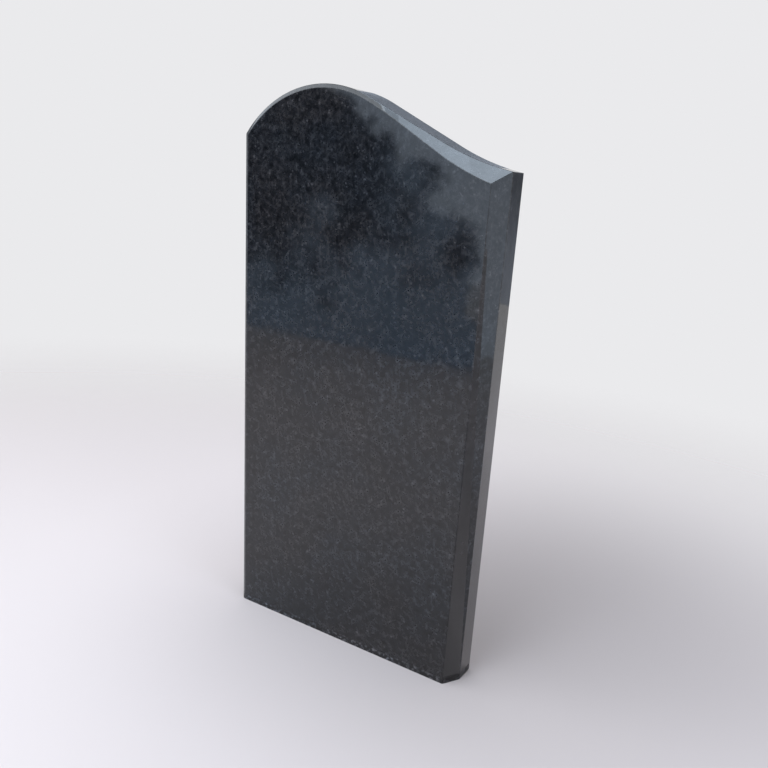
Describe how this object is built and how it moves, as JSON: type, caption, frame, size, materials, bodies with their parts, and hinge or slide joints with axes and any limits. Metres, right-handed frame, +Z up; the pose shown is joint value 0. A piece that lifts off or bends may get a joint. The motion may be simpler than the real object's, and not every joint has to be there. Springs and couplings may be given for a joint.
{
  "type": "headstone",
  "caption": "Upright slab headstone with a wave top and a bevel that opens down the right slope and side; stands on its flat underside.",
  "frame": {"origin": "centre of the slab's underside, which is its footprint's middle", "axes": "+Z up, -Y out of the polished face toward the viewer, +X to the viewer's right"},
  "size_m": [0.5, 0.07, 1],
  "materials": {
    "granite": "dark polished granite, fine grained; sawn underside and honed back"
  },
  "bodies": {
    "root": {"slab": "granite"}
  },
  "joints": []
}
